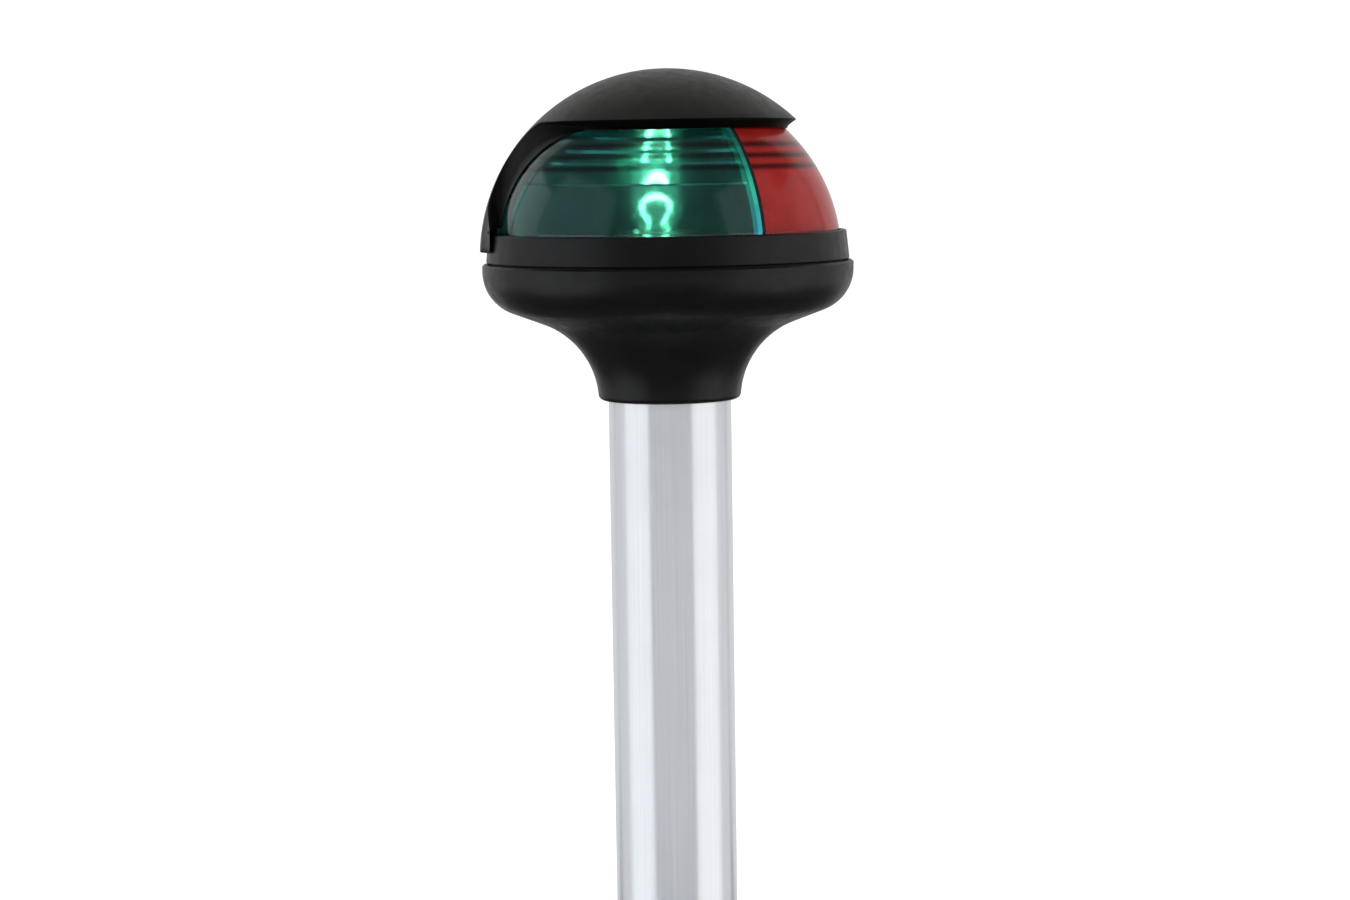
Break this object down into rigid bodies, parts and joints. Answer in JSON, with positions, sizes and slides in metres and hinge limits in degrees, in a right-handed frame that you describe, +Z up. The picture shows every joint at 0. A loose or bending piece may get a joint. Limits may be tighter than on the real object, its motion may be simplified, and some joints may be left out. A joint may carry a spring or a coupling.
{
  "type": "navigation light",
  "caption": "Plug-in bow light: red and green sidelight dome with a rear shroud, on a short round aluminium pole with a locking collar and a two-pin plug.",
  "frame": {"origin": "on the pole's axis, at the plane of the pole tube's lower end", "axes": "+Z up the pole, +X forward to the bow, +Y to port, so the red lens is on +Y"},
  "size_m": [0.0769, 0.0764, 0.266],
  "materials": {
    "anodised_pole": "satin anodised, faint drawing lines along the tube",
    "black_housing": "moulded, fine spark texture, soft sheen",
    "black_ring": "moulded, fine spark texture, soft sheen",
    "black_cap": "moulded, fine spark texture, soft sheen",
    "black_moulding": "plain moulded",
    "collar_moulding": "moulded, glass filled",
    "green_lens": "clear green polycarbonate, polished",
    "red_lens": "clear red polycarbonate, polished",
    "lamp_glass": "clear",
    "lamp_wire": "bright drawn wire",
    "filament": "tungsten coil, lit",
    "white_moulding": "natural nylon",
    "contact_brass": "tinned in use, bright rolled",
    "stainless": "stainless, turned or stamped",
    "seal_rubber": "matt",
    "red_insulation": "smooth vinyl",
    "black_insulation": "smooth vinyl"
  },
  "bodies": {
    "pole": {"pole_tube": "anodised_pole", "base_housing": "black_housing", "neck_grub_screw": "stainless", "housing_seal": "seal_rubber", "lamp_holder": "white_moulding", "lamp_contacts": "contact_brass", "holder_screws": "stainless", "wire_terminals": "contact_brass", "wire_starboard": "black_insulation", "wire_port": "red_insulation", "wire_gland": "seal_rubber", "plug_insert": "black_moulding", "plug_pins": "contact_brass", "plug_screw": "stainless", "collar_stop": "stainless"},
    "cover": {"lens_green": "green_lens", "lens_red": "red_lens", "rear_blank": "black_moulding", "colour_screen": "black_moulding", "clamp_plate": "stainless", "cap_screws": "stainless", "cap_shroud": "black_cap"},
    "ring": {"retaining_ring": "black_ring"},
    "lamp": {"lamp_glass": "lamp_glass", "lamp_base": "lamp_glass", "lamp_supports": "lamp_wire", "lamp_filament": "filament"},
    "washer": {"collar_washer": "white_moulding"},
    "collar": {"locking_collar": "collar_moulding"}
  },
  "joints": [
    {"name": "cover_lift", "type": "slide", "parent": "pole", "child": "cover", "axis": [0, 0, 1], "range_m": [0, 0.0045]},
    {"name": "ring_turn", "type": "hinge", "parent": "cover", "child": "ring", "pos_m": [0, 0, 0.2], "axis": [0, 0, 1], "range_deg": [0, 540]},
    {"name": "lamp_pull", "type": "slide", "parent": "pole", "child": "lamp", "axis": [0, 0, 1], "range_m": [0, 0.008]},
    {"name": "collar_slide", "type": "slide", "parent": "pole", "child": "washer", "axis": [0, 0, 1], "range_m": [0, 0.12]},
    {"name": "collar_spin", "type": "hinge", "parent": "washer", "child": "collar", "pos_m": [0, 0, 0.04], "axis": [0, 0, 1], "continuous": true}
  ],
  "couplings": [
    {"joint": "cover_lift", "follows": "ring_turn", "m_per_rad": 0.00047746}
  ]
}
